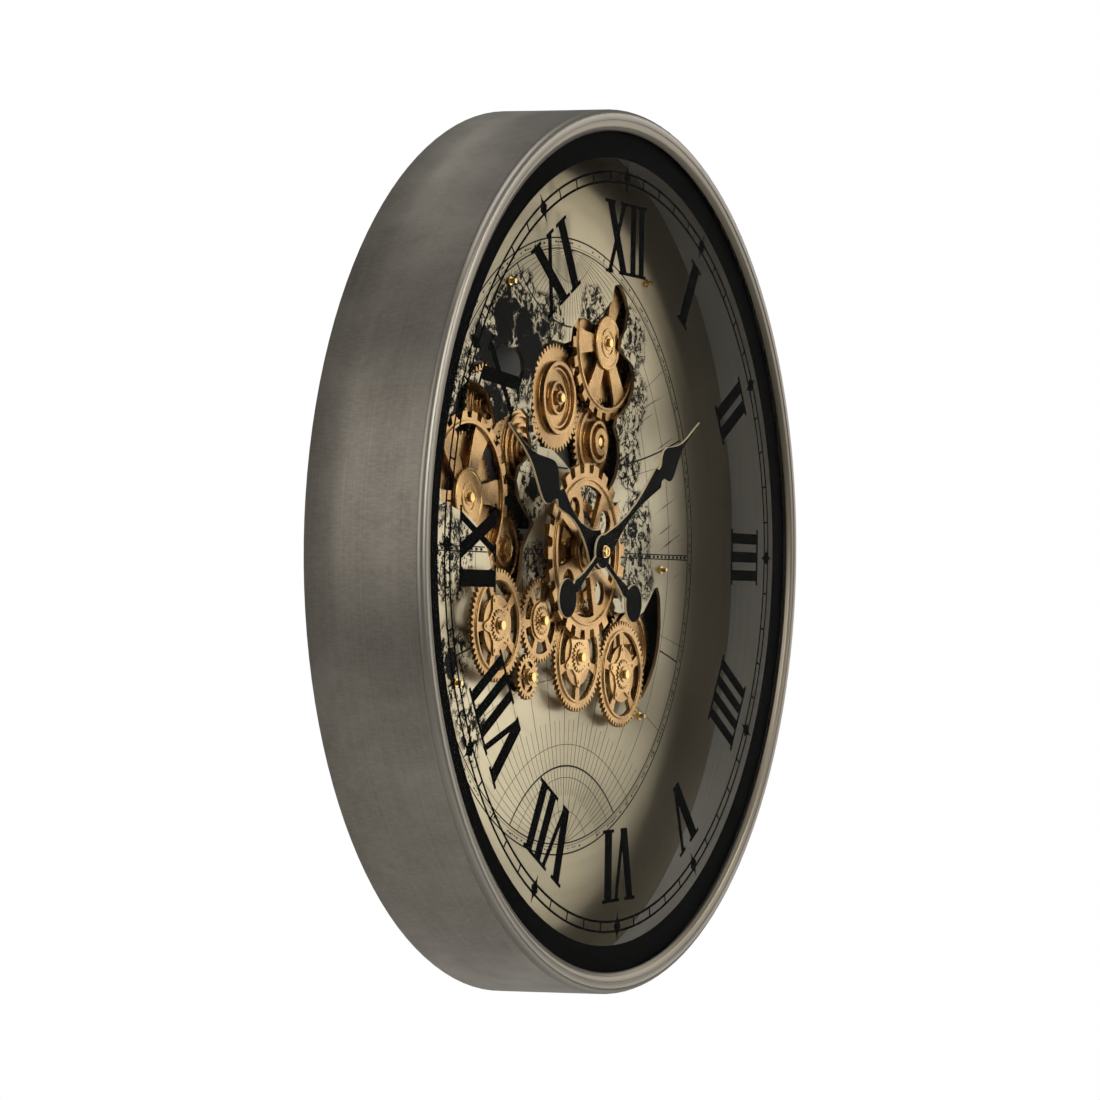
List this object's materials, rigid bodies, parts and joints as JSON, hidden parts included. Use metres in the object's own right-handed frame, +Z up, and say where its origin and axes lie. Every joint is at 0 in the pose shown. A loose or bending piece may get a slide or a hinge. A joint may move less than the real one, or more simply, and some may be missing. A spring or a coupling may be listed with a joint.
{
  "type": "wall clock",
  "caption": "Round wall clock with Roman numerals printed on its glass, brushed metal case, and an open bronze gear train seen through cut-outs in a map dial.",
  "frame": {"origin": "centre of the hanger hole in the wall plane, above the case axis", "axes": "+Z up, the dial faces -Y, +Y points into the wall, +X is to the right seen from the front"},
  "size_m": [0.5, 0.0681, 0.5],
  "materials": {
    "case_metal": "antiqued pewter, brushed along the band, satin lacquer",
    "bezel_metal": "warm satin, turned",
    "glass": "clear float glass",
    "print_black": "screen-printed ink",
    "liner_metal": "satin grey",
    "dial_metal": "champagne, circular brushed, printed map engraving",
    "base_board": "black painted fibreboard",
    "zinc_steel": "zinc plated",
    "brass": "polished",
    "gear_bronze": "antique copper-bronze lacquer",
    "gear_gold": "antique gold lacquer",
    "movement_plastic": "fine moulded texture",
    "cell_wrap": "printed sleeve without lettering",
    "hand_black": "satin black face with bright brass edges",
    "switch_red": "moulded"
  },
  "bodies": {
    "frame": {"case_shell": "case_metal", "bezel_ring": "bezel_metal", "glass_pane": "glass", "dial_print": "print_black", "inner_liner": "liner_metal", "dial_plate": "dial_metal", "base_plate": "base_board", "plate_pillars": "zinc_steel", "case_screws": "zinc_steel", "plate_standoffs": "zinc_steel", "plate_screws": "brass", "gear_posts": "zinc_steel", "post_caps": "brass", "center_sleeve": "brass", "sleeve_collar": "brass", "movement_bracket": "zinc_steel", "bracket_screws": "brass", "movement_housing": "movement_plastic", "movement_bushing": "brass", "bushing_nut": "brass", "movement_cell": "cell_wrap", "motor_housing": "zinc_steel", "battery_holder": "movement_plastic", "battery_cells": "cell_wrap", "hanger_plate": "zinc_steel", "hanger_screws": "brass"},
    "center_gear": {"center_wheel": "gear_bronze", "center_hub": "gear_gold", "center_fine_wheel": "gear_bronze"},
    "south_gear": {"south_wheel": "gear_bronze", "south_spider": "gear_gold"},
    "inner_gear": {"inner_wheel": "gear_bronze", "inner_hub": "gear_gold", "inner_rear_wheel": "gear_bronze"},
    "west_gear": {"west_wheel": "gear_bronze", "west_spider": "gear_gold"},
    "small_gear": {"small_wheel": "gear_gold"},
    "east_gear": {"east_wheel": "gear_bronze", "east_spider": "gear_gold", "east_rear_wheel": "gear_bronze"},
    "right_gear": {"right_wheel": "gear_bronze"},
    "disc_gear": {"disc_wheel": "gear_bronze"},
    "left_gear": {"left_fine_wheel": "gear_bronze", "left_rim": "gear_bronze", "left_dome": "gear_gold"},
    "shaded_gear": {"shaded_wheel": "gear_bronze"},
    "ringed_gear": {"ringed_wheel": "gear_bronze"},
    "fine_gear": {"fine_wheel": "gear_bronze"},
    "domed_gear": {"domed_wheel": "gear_bronze"},
    "upper_gear": {"upper_fine_wheel": "gear_bronze", "upper_rim": "gear_bronze", "upper_dome": "gear_gold"},
    "motor_gear": {"motor_pinion": "brass"},
    "minute_hand": {"minute_hand": "hand_black", "minute_arbor": "brass", "hand_nut": "brass"},
    "hour_hand": {"hour_hand": "hand_black", "hour_pipe": "brass"},
    "setting_knob": {"setting_knob": "movement_plastic"},
    "switch": {"switch_slider": "switch_red"}
  },
  "joints": [
    {"name": "center_spin", "type": "hinge", "parent": "frame", "child": "center_gear", "pos_m": [0, -0.032, -0.203], "axis": [0, 1, 0], "continuous": true},
    {"name": "south_spin", "type": "hinge", "parent": "frame", "child": "south_gear", "pos_m": [0, -0.032, -0.263], "axis": [0, 1, 0], "continuous": true},
    {"name": "inner_spin", "type": "hinge", "parent": "frame", "child": "inner_gear", "pos_m": [-0.04822, -0.032, -0.24223], "axis": [0, 1, 0], "continuous": true},
    {"name": "west_spin", "type": "hinge", "parent": "frame", "child": "west_gear", "pos_m": [-0.10065, -0.032, -0.2448], "axis": [0, 1, 0], "continuous": true},
    {"name": "small_spin", "type": "hinge", "parent": "frame", "child": "small_gear", "pos_m": [-0.06281, -0.032, -0.27326], "axis": [0, 1, 0], "continuous": true},
    {"name": "east_spin", "type": "hinge", "parent": "frame", "child": "east_gear", "pos_m": [0.05909, -0.032, -0.27342], "axis": [0, 1, 0], "continuous": true},
    {"name": "right_spin", "type": "hinge", "parent": "frame", "child": "right_gear", "pos_m": [0.10217, -0.032, -0.26041], "axis": [0, 1, 0], "continuous": true},
    {"name": "disc_spin", "type": "hinge", "parent": "frame", "child": "disc_gear", "pos_m": [-0.06434, -0.032, -0.20291], "axis": [0, 1, 0], "continuous": true},
    {"name": "left_spin", "type": "hinge", "parent": "frame", "child": "left_gear", "pos_m": [-0.11516, -0.032, -0.176], "axis": [0, 1, 0], "continuous": true},
    {"name": "shaded_spin", "type": "hinge", "parent": "frame", "child": "shaded_gear", "pos_m": [-0.08834, -0.032, -0.12514], "axis": [0, 1, 0], "continuous": true},
    {"name": "ringed_spin", "type": "hinge", "parent": "frame", "child": "ringed_gear", "pos_m": [-0.04602, -0.032, -0.14671], "axis": [0, 1, 0], "continuous": true},
    {"name": "fine_spin", "type": "hinge", "parent": "frame", "child": "fine_gear", "pos_m": [-0.00069, -0.032, -0.11555], "axis": [0, 1, 0], "continuous": true},
    {"name": "domed_spin", "type": "hinge", "parent": "frame", "child": "domed_gear", "pos_m": [0.04939, -0.032, -0.13828], "axis": [0, 1, 0], "continuous": true},
    {"name": "upper_spin", "type": "hinge", "parent": "frame", "child": "upper_gear", "pos_m": [0.05757, -0.032, -0.0801], "axis": [0, 1, 0], "continuous": true},
    {"name": "motor_spin", "type": "hinge", "parent": "frame", "child": "motor_gear", "pos_m": [0.05011, -0.032, -0.29808], "axis": [0, 1, 0], "continuous": true},
    {"name": "minute_hand_spin", "type": "hinge", "parent": "frame", "child": "minute_hand", "pos_m": [0, -0.049, -0.203], "axis": [0, 1, 0], "continuous": true},
    {"name": "hour_hand_spin", "type": "hinge", "parent": "frame", "child": "hour_hand", "pos_m": [0, -0.046, -0.203], "axis": [0, 1, 0], "continuous": true},
    {"name": "knob_spin", "type": "hinge", "parent": "frame", "child": "setting_knob", "pos_m": [0, -0.003, -0.191], "axis": [0, 1, 0], "continuous": true},
    {"name": "switch_slide", "type": "slide", "parent": "frame", "child": "switch", "axis": [1, 0, 0], "range_m": [0, 0.008]}
  ],
  "couplings": [
    {"joint": "south_spin", "follows": "center_spin", "ratio": -1},
    {"joint": "east_spin", "follows": "center_spin", "ratio": 1},
    {"joint": "inner_spin", "follows": "center_spin", "ratio": 1.3333},
    {"joint": "west_spin", "follows": "center_spin", "ratio": -1},
    {"joint": "small_spin", "follows": "center_spin", "ratio": -2.5455},
    {"joint": "disc_spin", "follows": "center_spin", "ratio": -1.1852},
    {"joint": "left_spin", "follows": "center_spin", "ratio": 0.7619},
    {"joint": "shaded_spin", "follows": "center_spin", "ratio": -1.1852},
    {"joint": "ringed_spin", "follows": "center_spin", "ratio": 1.0667},
    {"joint": "fine_spin", "follows": "center_spin", "ratio": -0.88889},
    {"joint": "domed_spin", "follows": "center_spin", "ratio": 1.0667},
    {"joint": "upper_spin", "follows": "center_spin", "ratio": -0.79012},
    {"joint": "right_spin", "follows": "center_spin", "ratio": -0.56522},
    {"joint": "motor_spin", "follows": "center_spin", "ratio": -1.625},
    {"joint": "hour_hand_spin", "follows": "minute_hand_spin", "ratio": 0.083333},
    {"joint": "knob_spin", "follows": "minute_hand_spin", "ratio": -1}
  ]
}
